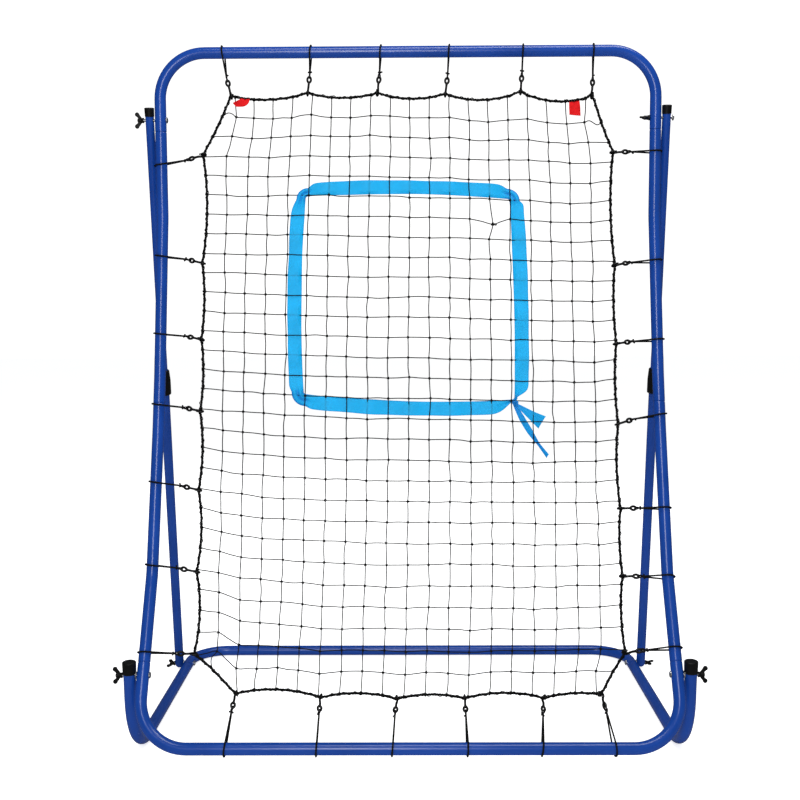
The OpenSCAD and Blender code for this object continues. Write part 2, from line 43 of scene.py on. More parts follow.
# ---------------------------------------------------------------- sizes

TWINE_R = 1.15 * MM
ROPE_STRAND_R = 1.5 * MM
ROPE_TURN_R = 1.5 * MM
ROPE_R = ROPE_STRAND_R + ROPE_TURN_R
STRAND_PITCH = 17 * MM  # of the rope's three strands
LASH_R = 0.85 * MM  # of the thin line wound round the rope
LASH_PITCH = 24 * MM
CORD_R = 1.9 * MM
COLUMNS = 19
ROWS = 28
CRIMP_FROM = 37.0 * MM  # from the rope to the near end of a crimp
CRIMP_TO = 41.5 * MM
RIBBON_WIDTH = 30.3 * MM

# ---------------------------------------------------------------- materials


def new_tree(name):
    material = bpy.data.materials.new(name)
    material.use_nodes = True
    tree = material.node_tree
    tree.nodes.clear()
    return material, tree


def add(tree, kind, settings=None, **inputs):
    """Adds a node. Inputs are values or the sockets that feed them."""
    node = tree.nodes.new(kind)
    for key, value in (settings or {}).items():
        setattr(node, key, value)
    for key, value in inputs.items():
        socket = node.inputs[int(key[1:]) if key[0] == "i" and key[1:].isdigit() else key.replace("_", " ")]
        if isinstance(value, bpy.types.NodeSocket):
            tree.links.new(value, socket)
        else:
            socket.default_value = value
    return node


def maths(tree, operation, a, b=0.0, c=0.0):
    return add(tree, "ShaderNodeMath", {"operation": operation}, i0=a, i1=b, i2=c).outputs[0]


def ramp(tree, factor, stops):
    node = add(tree, "ShaderNodeValToRGB", i0=factor)
    elements = node.color_ramp.elements
    while len(elements) < len(stops):
        elements.new(0.5)
    for element, (place, colour) in zip(elements, stops):
        element.position = place
        element.color = (*colour, 1.0)
    return node.outputs["Color"]


def noise(tree, scale, detail=2.0, vector=None, roughness=0.5):
    inputs = {"Scale": scale, "Detail": detail, "Roughness": roughness}
    if vector is not None:
        inputs["Vector"] = vector
    return add(tree, "ShaderNodeTexNoise", **inputs).outputs[0]


def object_place(tree):
    return add(tree, "ShaderNodeTexCoord").outputs["Object"]


def edge_wear(tree, low, high):
    point = add(tree, "ShaderNodeNewGeometry").outputs["Pointiness"]
    return add(tree, "ShaderNodeMapRange", i0=point, i1=low, i2=high).outputs[0]


def finish_surface(tree, bump_height, bump_strength, bump_distance, **inputs):
    bump = add(tree, "ShaderNodeBump", Strength=bump_strength, Distance=bump_distance, Height=bump_height)
    shader = add(tree, "ShaderNodeBsdfPrincipled", Normal=bump.outputs[0], **inputs)
    output = add(tree, "ShaderNodeOutputMaterial", Surface=shader.outputs[0])
    return shader, output


def powder_coat():
    """Blue powder coat: faint orange peel, slow tone drift and a few fine handling marks."""
    material, tree = new_tree("blue_powder_coat")
    place = object_place(tree)
    drift = noise(tree, 9.0, 3.0, place)
    peel = noise(tree, 520.0, 2.0, place)
    marks = noise(tree, 60.0, 8.0, place, 0.75)
    colour = ramp(tree, drift, [(0.3, (0.005, 0.047, 0.285)), (0.7, (0.008, 0.060, 0.35))])
    marks_mask = maths(tree, "GREATER_THAN", marks, 0.665)
    gloss = maths(tree, "MULTIPLY_ADD", drift, 0.08, 0.19)
    roughness = maths(tree, "MULTIPLY_ADD", marks_mask, 0.12, gloss)
    finish_surface(
        tree, peel, 0.05, 0.0003, Base_Color=colour, Roughness=roughness, Specular_IOR_Level=0.4
    )
    return material


def plastic(name="black_plastic", tone=0.0035):
    """Black moulded plastic: fine spark texture and slightly rubbed edges."""
    material, tree = new_tree(name)
    place = object_place(tree)
    grain = noise(tree, 1500.0, 2.0, place)
    blotch = noise(tree, 45.0, 4.0, place)
    dark = (tone, tone, tone * 1.05)
    pale = (tone * 2.4, tone * 2.4, tone * 2.5)
    worn = maths(tree, "MULTIPLY", edge_wear(tree, 0.52, 0.62), blotch)
    colour = ramp(tree, worn, [(0.05, dark), (0.9, pale)])
    roughness = maths(tree, "MULTIPLY_ADD", blotch, 0.22, 0.32)
    finish_surface(
        tree, grain, 0.25, 0.0002, Base_Color=colour, Roughness=roughness, Specular_IOR_Level=0.25
    )
    return material


def zinc():
    """Bright zinc plate with turning marks and dull patches."""
    material, tree = new_tree("zinc_steel")
    place = object_place(tree)
    patches = noise(tree, 130.0, 5.0, place)
    stretched = add(tree, "ShaderNodeMapping", Vector=place, Scale=(60.0, 900.0, 900.0)).outputs[0]
    lines = noise(tree, 3.0, 2.0, stretched)
    colour = ramp(tree, patches, [(0.3, (0.48, 0.49, 0.51)), (0.7, (0.74, 0.75, 0.77))])
    roughness = maths(tree, "MULTIPLY_ADD", patches, 0.25, 0.16)
    finish_surface(
        tree, lines, 0.2, 0.0002, Base_Color=colour, Roughness=roughness, Metallic=1.0
    )
    return material


def crimp_metal():
    material, tree = new_tree("crimp_metal")
    place = object_place(tree)
    dents = noise(tree, 420.0, 3.0, place)
    stains = noise(tree, 90.0, 5.0, place)
    colour = ramp(tree, stains, [(0.35, (0.12, 0.12, 0.125)), (0.65, (0.50, 0.50, 0.51))])
    roughness = maths(tree, "MULTIPLY_ADD", stains, 0.3, 0.25)
    finish_surface(
        tree, dents, 0.5, 0.0005, Base_Color=colour, Roughness=roughness, Metallic=1.0
    )
    return material


def fibre(name, colour_low, colour_high, turns, pitch, ribs=1.0):
    """Yarn laid in plies: u runs along it in metres and v round it, so the plies wind in a helix."""
    material, tree = new_tree(name)
    layout = add(tree, "ShaderNodeTexCoord").outputs["UV"]
    parts = add(tree, "ShaderNodeSeparateXYZ", Vector=layout)
    along = maths(tree, "DIVIDE", parts.outputs[0], pitch)
    around = maths(tree, "MULTIPLY", parts.outputs[1], turns)
    phase = maths(tree, "MULTIPLY", maths(tree, "ADD", along, around), 2 * math.pi)
    ply = maths(tree, "ABSOLUTE", maths(tree, "SINE", maths(tree, "MULTIPLY", phase, 0.5)))
    place = object_place(tree)
    fuzz = noise(tree, 1900.0, 4.0, place, 0.7)
    dust = noise(tree, 70.0, 4.0, place)
    height = maths(tree, "MULTIPLY_ADD", fuzz, 0.5, maths(tree, "MULTIPLY", ply, ribs))
    # Painted shade: the colour darkens in the grooves between the plies, and dust varies it at random
    tone = maths(tree, "MULTIPLY", maths(tree, "MULTIPLY_ADD", ply, 0.7, 0.3), maths(tree, "ADD", dust, 0.4))
    colour = ramp(tree, tone, [(0.1, colour_low), (0.9, colour_high)])
    roughness = maths(tree, "MULTIPLY_ADD", fuzz, 0.25, 0.62)
    finish_surface(
        tree, height, 0.7, 0.0006, Base_Color=colour, Roughness=roughness, Specular_IOR_Level=0.12
    )
    return material


def ribbon_film(name, tint, crease_shade_colour, glow, share):
    """Thin non-woven ribbon that lets light and the shapes behind it through, with painted shade where it
    folds.
    """
    material, tree = new_tree(name)
    place = object_place(tree)
    stretched = add(tree, "ShaderNodeMapping", Vector=place, Scale=(1.0, 1.0, 5.0)).outputs[0]
    threads = noise(tree, 700.0, 3.0, stretched, 0.6)
    cloud = noise(tree, 28.0, 4.0, place)
    mottle = maths(tree, "MULTIPLY_ADD", threads, 0.5, maths(tree, "MULTIPLY", cloud, 0.5))
    flat_colour = ramp(tree, mottle, [(0.35, tuple(0.84 * c for c in tint)), (0.65, tint)])
    # Painted shade: where the ribbon folds, its colour is mixed towards the darker crease colour
    fold_shade = add(tree, "ShaderNodeAttribute", {"attribute_name": "fold_shade"}).outputs["Fac"]
    mix = add(
        tree, "ShaderNodeMix", {"data_type": "RGBA"}, Factor=fold_shade, i6=flat_colour, i7=(*crease_shade_colour, 1.0)
    )
    colour = mix.outputs[2]
    bump = add(tree, "ShaderNodeBump", Strength=0.35, Distance=0.0003, Height=threads)
    diffuse = add(tree, "ShaderNodeBsdfPrincipled", Base_Color=colour, Roughness=0.5, Sheen_Weight=0.2,
                  Normal=bump.outputs[0])
    through = add(tree, "ShaderNodeBsdfTranslucent", Color=colour, Normal=bump.outputs[0])
    body = add(tree, "ShaderNodeMixShader", i0=0.45, i1=diffuse.outputs[0], i2=through.outputs[0])
    clear = add(tree, "ShaderNodeBsdfTransparent", Color=(*glow, 1.0))
    open_share = maths(tree, "SUBTRACT", 1.0, maths(tree, "MULTIPLY", fold_shade, 0.6))
    seen_through = maths(tree, "MULTIPLY", open_share, share)
    film = add(tree, "ShaderNodeMixShader", i0=seen_through, i1=body.outputs[0], i2=clear.outputs[0])
    add(tree, "ShaderNodeOutputMaterial", Surface=film.outputs[0])
    return material


def tag_cloth():
    """Red satin label tape: a fine cross weave and a slowly varying red."""
    material, tree = new_tree("red_tag")
    place = object_place(tree)
    weave = add(
        tree, "ShaderNodeTexWave", {"bands_direction": "Z"}, Vector=place, Scale=900.0, Distortion=1.0
    )
    cloud = noise(tree, 120.0, 3.0, place)
    colour = ramp(tree, cloud, [(0.3, (0.62, 0.003, 0.005)), (0.7, (0.82, 0.007, 0.010))])
    finish_surface(
        tree, weave.outputs[1], 0.3, 0.0003, Base_Color=colour, Roughness=0.55, Specular_IOR_Level=0.15
    )
    return material


BLUE = powder_coat()
BLACK = plastic()
ZINC = zinc()
CRIMP = crimp_metal()
TWINE = fibre("net_twine", (0.002, 0.002, 0.002), (0.010, 0.010, 0.010), 2.0, 0.0055)
ROPE = fibre("border_rope", (0.0012, 0.0012, 0.0012), (0.007, 0.007, 0.007), 5.0, 0.0050)
CORD = fibre("elastic_cord", (0.0015, 0.0015, 0.0015), (0.008, 0.008, 0.008), 8.0, 0.0040, ribs=0.6)
RIBBON = ribbon_film("target_ribbon", (0.018, 0.655, 1.0), (0.0, 0.30, 0.78), (0.03, 0.70, 1.0), 0.40)
TAG = tag_cloth()

# ---------------------------------------------------------------- mesh building


def unit(vectors):
    vectors = np.asarray(vectors, float)
    return vectors / np.maximum(np.linalg.norm(vectors, axis=-1, keepdims=True), 1e-12)


class Batch:
    """Collects swept pieces and turns them into one mesh object."""

    def __init__(self):
        self.points, self.quads, self.layouts, self.caps, self.count = [], [], [], [], 0

    def add(self, points, quads, layout, caps=()):
        self.points.append(points)
        self.quads.append(quads + self.count)
        self.layouts.append(layout)
        self.caps += [cap + self.count for cap in caps]
        self.count += len(points)

    def build(self, name, material, slot, body="net_frame", replaces=()):
        quads = np.concatenate(self.quads)
        sizes = [4] * len(quads) + [len(cap) for cap in self.caps]
        corners = np.concatenate([quads.ravel(), *self.caps]).astype(np.int32)
        layout = np.zeros((len(corners), 2), np.float32)
        layout[: quads.size] = np.concatenate(self.layouts).reshape(-1, 2)
        mesh = bpy.data.meshes.new(name)
        mesh.vertices.add(self.count)
        mesh.vertices.foreach_set("co", np.concatenate(self.points).astype(np.float32).ravel())
        mesh.loops.add(len(corners))
        mesh.loops.foreach_set("vertex_index", corners)
        mesh.polygons.add(len(sizes))
        mesh.polygons.foreach_set("loop_start", np.concatenate([[0], np.cumsum(sizes)[:-1]]).astype(np.int32))
        mesh.polygons.foreach_set("use_smooth", np.ones(len(sizes), bool))
        mesh.update(calc_edges=True)
        mesh.uv_layers.new(name="layout").data.foreach_set("uv", layout.ravel())
        mesh.validate()
        mesh.materials.append(material)
        piece = bpy.data.objects.new(name, mesh)
        bpy.context.scene.collection.objects.link(piece)
        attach(piece, body)
        if replaces:
            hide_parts(*replaces)
        return piece


def smooth_path(points, step, closed=False):
    """Points along a Catmull-Rom curve through the given ones, about one step apart."""
    points = np.asarray(points, float)
    count = len(points)
    ends = range(count if closed else count - 1)
    if closed:
        padded = np.vstack([points[-1], points, points[:2]])
    else:
        padded = np.vstack([2 * points[0] - points[1], points, 2 * points[-1] - points[-2]])
    pieces = []
    for i in ends:
        a, b, c, d = padded[i : i + 4]
        share = np.arange(max(2, round(np.linalg.norm(c - b) / step)))
        t = (share / len(share))[:, None]
        pieces.append(
            0.5 * (2 * b + (c - a) * t + (2 * a - 5 * b + 4 * c - d) * t**2 + (3 * b - a - 3 * c + d) * t**3)
        )
    if not closed:
        pieces.append(points[-1:])
    return np.vstack(pieces)


def frames_along(path, closed=False, hint=(0.0, 1.0, 0.0)):
    """Tangent and two cross directions at each point, turned as little as possible."""
    if closed:
        tangent = unit(np.roll(path, -1, 0) - np.roll(path, 1, 0))
    else:
        tangent = unit(np.gradient(path, axis=0))
    hint = np.asarray(hint, float)
    if abs(tangent[0] @ hint) > 0.9:
        hint = np.roll(hint, 1)
    first = unit(hint - (hint @ tangent[0]) * tangent[0])
    side = np.empty_like(path)
    side[0] = first
    for i in range(1, len(path)):
        carried = side[i - 1] - (side[i - 1] @ tangent[i]) * tangent[i]
        side[i] = carried / np.linalg.norm(carried)
    if closed:
        last = side[-1] - (side[-1] @ tangent[0]) * tangent[0]
        last /= np.linalg.norm(last)
        gap = math.atan2(np.cross(side[0], last) @ tangent[0], side[0] @ last)
        turn = -gap * np.arange(len(path)) / len(path)
        other = np.cross(tangent, side)
        side = side * np.cos(turn)[:, None] + other * np.sin(turn)[:, None]
    return tangent, side, np.cross(tangent, side)


END_REACH = 0.35  # a swept end stands out by this share of its radius
END_TAPER = 0.6  # and is this share of its radius wide there


def sweep(batch, path, radius, sides=8, closed=False, flat=1.0, hint=(0.0, 1.0, 0.0), ends=True):
    """Round or oval section along a path. Radius may vary along it; flat squashes it across the hint."""
    path = np.asarray(path, float)
    count = len(path)
    radius = np.broadcast_to(np.asarray(radius, float), count)
    if ends and not closed:
        tangent = unit(np.gradient(path, axis=0))
        first_end = path[:1] - tangent[:1] * radius[0] * END_REACH
        last_end = path[-1:] + tangent[-1:] * radius[-1] * END_REACH
        path = np.vstack([first_end, path, last_end])
        radius = np.concatenate([[radius[0] * END_TAPER], radius, [radius[-1] * END_TAPER]])
        count += 2
    _, side, other = frames_along(path, closed, hint)
    angle = 2 * math.pi * np.arange(sides) / sides
    ring = side[:, None] * (np.cos(angle) * flat)[None, :, None]
    ring = ring + other[:, None] * np.sin(angle)[None, :, None]
    points = (path[:, None] + ring * radius[:, None, None]).reshape(-1, 3)
    length = np.concatenate([[0], np.cumsum(np.linalg.norm(np.diff(path, axis=0), axis=1))])
    rows = np.arange(count if closed else count - 1)
    i, k = np.meshgrid(rows, np.arange(sides), indexing="ij")
    i, k = i.ravel(), k.ravel()
    after, turned = (i + 1) % count, (k + 1) % sides
    quads = np.stack([i * sides + k, i * sides + turned, after * sides + turned, after * sides + k], 1)
    u0 = length[i]
    u1 = np.where(i + 1 < count, length[np.minimum(i + 1, count - 1)], length[-1] + 0.001)
    v0, v1 = k / sides, (k + 1) / sides
    layout = np.stack([np.stack(pair, 1) for pair in ((u0, v0), (u0, v1), (u1, v1), (u1, v0))], 1)
    caps = () if closed else (np.arange(sides)[::-1], (count - 1) * sides + np.arange(sides))
    batch.add(points, quads, layout, caps)


def wrap(batch, centre, along, turns, pitch, wrap_r, cord_r, start=0.0, sides=6):
    """Turns of twine round a rope at a point."""
    along = unit(along)
    across = unit(np.cross(along, (0.0, 1.0, 0.0)))
    up = np.cross(along, across)
    steps = np.arange(round(turns * 11) + 1) / 11
    angle = start + 2 * math.pi * steps
    place = (steps - turns / 2) * pitch
    circle = across * np.cos(angle)[:, None] + up * np.sin(angle)[:, None]
    sweep(batch, centre + along * place[:, None] + wrap_r * circle, cord_r, sides)


# ---------------------------------------------------------------- places from the frame


def points_of(node):
    mesh = nodes[node].data
    co = np.empty(len(mesh.vertices) * 3, np.float32)
    mesh.vertices.foreach_get("co", co)
    return co.reshape(-1, 3).astype(float)


def groups_along(points, axis, gap):
    points = points[np.argsort(points[:, axis])]
    cuts = np.flatnonzero(np.diff(points[:, axis]) > gap) + 1
    return np.split(points, cuts)


def near_groups(points, reach):
    groups = []
    while len(points):
        near = np.linalg.norm(points - points[0], axis=1) < reach
        groups.append(points[near])
        points = points[~near]
    return groups


net_points = points_of("net_mesh")
net_curve = np.polyfit(net_points[:, 2], net_points[:, 1], 2)


def net_y(z):
    return np.polyval(net_curve, z)


CRIMP_REACH = 30 * MM  # a crimp's points are nearer to one another than this
HOOK_REACH = 70 * MM
TIE_GAP = 50 * MM  # neighbouring ties are farther apart than this
RING_TOP = 12 * MM  # depth of the outer part of a tie's ring, which shows the tube's direction
RING_DEPTH = 16.4 * MM  # from the outer top of a tie's ring to the middle of its tube
HOOK_END_GAP = 4.6 * MM  # from the end of a plain CAD hook to the middle of the rope
crimp_centres = [g.mean(0) for g in near_groups(points_of("cord_crimps"), CRIMP_REACH)]
hook_groups = near_groups(points_of("cord_hooks"), HOOK_REACH)


def tie_list(node, axis, outward):
    """Each tie's tube centre, tube direction, outward direction and rope point, in order along the tube."""
    outward = np.array(outward, float)
    ties = []
    for group in groups_along(points_of(node), axis, TIE_GAP):
        height = group @ outward
        across = group[height > height.max() - RING_TOP]
        spread = across - across.mean(0)
        direction = np.linalg.svd(spread, full_matrices=False)[2][-1]
        direction *= math.copysign(1.0, direction[axis])
        centre = group[height > height.max() - RING_DEPTH].mean(0)
        centre += outward * (height.max() - RING_DEPTH - centre @ outward)
        crimp = min(crimp_centres, key=lambda c: np.linalg.norm(c - centre))
        hook = min(hook_groups, key=lambda g: np.linalg.norm(g.mean(0) - crimp))
        run = unit(hook.mean(0) - crimp)
        rope = crimp + run * (((hook - crimp) @ run).max() + HOOK_END_GAP)
        ties.append({"centre": centre, "tube": direction, "out": outward, "rope": rope, "node": node})
    return ties


top_ties = tie_list("elastic_cords_top", 0, (0, 0, 1))
bottom_ties = tie_list("elastic_cords_bottom", 0, (0, 0, -1))
left_ties = tie_list("elastic_cords_left", 2, (-1, 0, 0))
right_ties = tie_list("elastic_cords_right", 2, (1, 0, 0))

# How far the rope is pulled up at each top tie, and at each bottom tie (mm)
TOP_PULL = (3, 9, 8, 5, 9, -1)
BOTTOM_PULL = (0, -7, -10, -9, -9, -2)
for row_of_ties, rises in ((top_ties, TOP_PULL), (bottom_ties, BOTTOM_PULL)):
    for tie, rise in zip(row_of_ties, rises):
        tie["rope"][2] += rise * MM
ties = top_ties + right_ties[::-1] + bottom_ties[::-1] + left_ties

# ---------------------------------------------------------------- net: where its knots settle

corners = [t["rope"][[0, 2]] for t in ties]
count_top, count_side, count_bottom = len(top_ties), len(left_ties), len(bottom_ties)
TOP_LEGS = range(0, count_top - 1)
RIGHT_LEGS = range(count_top - 1, count_top + count_side)
BOTTOM_LEGS = range(count_top + count_side, count_top + count_side + count_bottom - 1)
LEFT_LEGS = range(count_top + count_side + count_bottom - 1, len(ties))


def on_rope(legs, axis, value):
    """(place in the rope's order, point) where the rope's straight run crosses a coordinate."""
    best = None
    for leg in legs:
        a, b = corners[leg], corners[(leg + 1) % len(corners)]
        share = (value - a[axis]) / (b[axis] - a[axis]) if abs(b[axis] - a[axis]) > 1e-9 else 2.0
        miss = max(0.0, -share, share - 1.0)
        if best is None or miss < best[0]:
            share = min(max(share, 0.02), 0.98)
            best = (miss, leg + share, a + (b - a) * share)
    return best[1:]


top_z = top_ties[0]["rope"][2] - TOP_PULL[0] * MM
bottom_z = bottom_ties[0]["rope"][2]
row_z = top_z - (top_z - bottom_z) * np.arange(1, ROWS + 1) / (ROWS + 1)
top_x = np.linspace(top_ties[0]["rope"][0] + 9 * MM, top_ties[-1]["rope"][0] - 13 * MM, COLUMNS)
bottom_x = np.linspace(bottom_ties[0]["rope"][0] - 51 * MM, bottom_ties[-1]["rope"][0] - 9 * MM, COLUMNS)
# The rows climb to the left edge in the lower half, and hang below their level at the right edge
row = np.arange(1, ROWS + 1)
left_lift = 31 * MM * np.clip((row - 6) / 19, 0, 1)
right_lift = (15 * np.clip((row - 8) / 17, 0, 1) - 18) * MM

places = {}
for i in range(COLUMNS):
    places["top", i] = on_rope(TOP_LEGS, 0, top_x[i])
    places["bottom", i] = on_rope(BOTTOM_LEGS, 0, bottom_x[i])
places["bottom", 0] = on_rope(LEFT_LEGS[:1], 1, bottom_z + 43 * MM)
for j in range(ROWS):
    places["left", j] = on_rope(LEFT_LEGS, 1, row_z[j] + left_lift[j])
    places["right", j] = on_rope(RIGHT_LEGS, 1, row_z[j] + right_lift[j])
for k, corner in enumerate(corners):
    places["tie", k] = (float(k), corner)

rope_order = sorted((key for key in places), key=lambda key: places[key][0])
index = {key: n for n, key in enumerate(rope_order)}
for i in range(COLUMNS):
    for j in range(ROWS):
        index["knot", i, j] = len(index)
size = len(index)
# Twine hardly stretches, so a row spaces its knots sideways and a column spaces them in height, and
# each gives only a little the other way. One matrix per direction: sideways, then height.
pulls = np.zeros((2, size, size))
COLUMN_GIVE = 0.4
ROW_GIVE = 0.06


def join(a, b, sideways, height):
    m, n = index[a], index[b]
    for pull, tension in zip(pulls, (sideways, height)):
        pull[m, m] += tension
        pull[n, n] += tension
        pull[m, n] -= tension
        pull[n, m] -= tension


# The rope is tighter towards the top of each side, and more on the right
for a, b in zip(rope_order, rope_order[1:] + rope_order[:1]):
    start, run = places[a][1], places[b][1] - places[a][1]
    height = (start[1] - bottom_z) / (top_z - bottom_z)
    if abs(run[0]) < abs(run[1]):
        tension = (0.33 + 0.6 * height) * (1.35 if start[0] > 0 else 1.0)
    else:
        tension = 0.26 - 0.2 * start[0] if height > 0.5 else 0.35
    tension /= max(np.linalg.norm(run), 3 * MM)
    join(a, b, tension, tension)
for i in range(COLUMNS):
    line = [("top", i)] + [("knot", i, j) for j in range(ROWS)] + [("bottom", i)]
    for a, b in zip(line, line[1:]):
        join(a, b, COLUMN_GIVE, 1.0)
for j in range(ROWS):
    line = [("left", j)] + [("knot", i, j) for i in range(COLUMNS)] + [("right", j)]
    for a, b in zip(line, line[1:]):
        slack = 0.5 if "left" in a or "right" in b else 1.0
        join(a, b, 1.0, ROW_GIVE * slack)

held = np.array([index[key] for key in index if key[0] == "tie"])
free = np.setdiff1d(np.arange(size), held)
flat = np.zeros((size, 2))
for key in rope_order:
    flat[index[key]] = places[key][1]
for axis, pull in enumerate(pulls):
    flat[free, axis] = np.linalg.solve(pull[np.ix_(free, free)], -pull[np.ix_(free, held)] @ flat[held, axis])

# The upper right sags, the middle sags a little, and slow waves and small scatter come on top
knots = np.array([[flat[index["knot", i, j]] for j in range(ROWS)] for i in range(COLUMNS)])
gi, gj = np.meshgrid(np.arange(COLUMNS), np.arange(ROWS), indexing="ij")
to_right = np.clip(knots[:, :, 0] / 0.33, 0, 1)
knots[:, :, 1] -= 9 * MM * np.clip(1 - ((gj + 1) / 26) ** 2, 0, 1) * to_right**2 * (3 - 2 * to_right)
knots[:, :, 1] -= 5 * MM * np.sin(math.pi * (gj + 1) / (ROWS + 1)) * (1 - (knots[:, :, 0] / 0.45) ** 2)
for axis in range(2):
    wave = np.zeros(gi.shape)
    for _ in range(7):
        wi, wj = rng.uniform(0.1, 0.9, 2)
        wave += np.sin(wi * gi + wj * gj + rng.uniform(0, 2 * math.pi))
    knots[:, :, axis] += wave * 0.3 * MM + rng.normal(0, 0.8 * MM, gi.shape)
SNAG = (13, 5)  # the knot that is pulled down, as (column, row)
SNAG_GROWTH = 1.6
knots[SNAG] += (5 * MM, -11 * MM)
for i in range(COLUMNS):
    for j in range(ROWS):
        flat[index["knot", i, j]] = knots[i, j]

depth = rng.normal(0, 0.6 * MM, size)
depth[: len(rope_order)] = 0


def placed(key, lift=0.0):
    x, z = flat[index[key]]
    return np.array([x, net_y(z) + depth[index[key]] + lift, z])


# ---------------------------------------------------------------- net: twine, knots and rope

twine = Batch()
# Slack runs of twine at the corners: (share of the run from the rope, sideways, up)
LOOSE = {
    ("left", 0): [(0.4, 0, 8.5 * MM), (0.75, 0, 6 * MM)],
    ("right", 0): [(0.25, 0, -5 * MM), (0.7, 0, 3.5 * MM)],
    ("bottom", 0): [(0.35, -7 * MM, 0), (0.7, -8 * MM, 0)],
}


def twine_line(keys, lift):
    path = []
    for a, b in zip(keys, keys[1:]):
        start, end = placed(a, lift), placed(b, lift)
        path.append(start)
        loose = LOOSE.get(a) or LOOSE.get(b)
        if loose:
            shares = [(s if a in LOOSE else 1 - s, dx, dz) for s, dx, dz in loose]
            for share, dx, dz in sorted(shares):
                path.append(start + (end - start) * share + np.array([dx, 0, dz]))
        else:
            run = unit(end - start)
            bow = rng.normal(0, 0.55 * MM, 2)
            level = np.array([run[2], 0, -run[0]])
            path.append((start + end) / 2 + level * bow[0] + np.array([0, bow[1], 0]))
    path.append(placed(keys[-1], lift))
    sweep(twine, smooth_path(path, 3.4 * MM), TWINE_R, 7)


for i in range(COLUMNS):
    twine_line([("top", i)] + [("knot", i, j) for j in range(ROWS)] + [("bottom", i)], -0.7 * MM)
for j in range(ROWS):
    twine_line([("left", j)] + [("knot", i, j) for i in range(COLUMNS)] + [("right", j)], 0.7 * MM)



def trefoil(steps, depth):
    """Closed path of a trefoil knot, about 6 units across and facing the front."""
    turn = 2 * math.pi * np.arange(steps) / steps
    across = np.sin(turn) + 2 * np.sin(2 * turn)
    up = np.cos(turn) - 2 * np.cos(2 * turn)
    return np.stack([across, -depth * np.sin(3 * turn), up], 1)


# A knot is a small trefoil of twine, pulled tight
small_trefoil = trefoil(22, 1.1)
for i in range(COLUMNS):
    for j in range(ROWS):
        spin = rng.uniform(0, 2 * math.pi)
        grow = rng.uniform(0.60, 0.74) * MM * (SNAG_GROWTH if (i, j) == SNAG else 1.0)
        c, s = math.cos(spin), math.sin(spin)
        shape = small_trefoil @ np.array([[c, 0, s], [0, 1, 0], [-s, 0, c]]) * grow
        sweep(twine, placed(("knot", i, j)) + shape, 1.4 * MM, 6, closed=True)
SNAG_LOOP = [(0, 0, 0), (3, -1, -1), (6.5, -1.5, -2.5), (8, -1, -1), (5, -0.5, 0.8), (1, 0, 0.5)]  # mm
loop = placed(("knot", *SNAG), -1.5 * MM) + np.array(SNAG_LOOP) * MM
sweep(twine, smooth_path(loop, 1.0 * MM), TWINE_R, 7)

rope_nodes = np.array([placed(key) for key in rope_order])
rope_line = smooth_path(rope_nodes, 1.7 * MM, closed=True)
rope_along, rope_side, rope_other = frames_along(rope_line, closed=True)
rope_length = np.concatenate([[0], np.cumsum(np.linalg.norm(np.diff(rope_line, axis=0), axis=1))])
rope_total = rope_length[-1] + np.linalg.norm(rope_line[0] - rope_line[-1])


def round_rope(offset, winds, phase, wobble):
    """A path that winds round the border rope a whole number of times."""
    angle = phase + 2 * math.pi * winds * rope_length / rope_total
    reach = offset * (1 + wobble)
    sideways = rope_side * (reach * np.cos(angle))[:, None]
    return rope_line + sideways + rope_other * (reach * np.sin(angle))[:, None]


def ripple(amount, count=40):
    """Smooth closed noise along the rope."""
    t = 2 * math.pi * rope_length / rope_total
    waves = rng.integers(30, 260, count)
    total = sum(np.sin(w * t + rng.uniform(0, 2 * math.pi)) for w in waves)
    return amount * total / math.sqrt(count / 2)


rope = Batch()
rope_winds = round(rope_total / STRAND_PITCH)
for strand in range(3):
    path = round_rope(ROPE_TURN_R, rope_winds, strand * 2 * math.pi / 3, ripple(0.10))
    sweep(rope, path, ROPE_STRAND_R * (1 + ripple(0.07)), 8, closed=True)
lash_winds = round(rope_total / LASH_PITCH)
sweep(rope, round_rope(ROPE_R + 0.3 * MM, -lash_winds, 0.4, ripple(0.10)), LASH_R, 6, closed=True)


def rope_at(point):
    """Nearest place on the rope: (point, direction)."""
    n = int(np.argmin(np.linalg.norm(rope_line - point, axis=1)))
    return rope_line[n], rope_along[n]


# Each twine and tie is bound to the rope
for key in rope_order:
    centre, along = rope_at(placed(key))
    tied = key[0] == "tie"
    turns = 4.2 if tied else 2.2
    wrap(rope, centre, along, turns, 1.9 * MM, ROPE_R + 0.55 * MM, LASH_R, rng.uniform(0, 6))

twine.build("net_twine_mesh", TWINE, "net_twine", replaces=["net_mesh"])
rope.build("net_border_rope", ROPE, "border_rope", replaces=["border_rope"])

# ---------------------------------------------------------------- ties: cord, crimp and hook

LOOP_R = 14.9 * MM  # a tie's loop round its tube, on the cord's centre line
EYE_AT = 29.0  # from the rope to the middle of a hook's eye (mm)
EYE = (6.2, 4.0)  # half length and half width of the eye (mm)
LINK_AT = 37.2  # from the rope to the middle of the cord's link through the eye (mm)
LINK = (4.4, 0.6, 4.4)  # half sizes of the link (mm)
CRIMP_R = 2.9 * MM
HOOK_STOPS = (0, 0.15, 0.3, 0.8, 1.0)  # shares of a hook's length from its eye to its tip
HOOK_RADII = (3.3, 2.8, 2.8, 2.5, 1.7)  # its section's radii there (mm)
HOOK_PATH = [
    (24.5, 0, 0), (20, 0, 0), (13, 0, 0.8), (8, 0, 2.8), (4, 0, 4.9), (0, 0, 5.8), (-4.1, 0, 4.1),
    (-5.8, 0, 0), (-4.1, 0, -4.1), (0, 0, -5.7), (3.5, 0, -5.5), (6.2, 0, -6.6),
]  # from the eye round the rope to the tip (mm)
cord_batches = {t["node"]: Batch() for t in ties}
crimps, hooks = Batch(), Batch()
oval = 2 * math.pi * np.arange(26) / 26

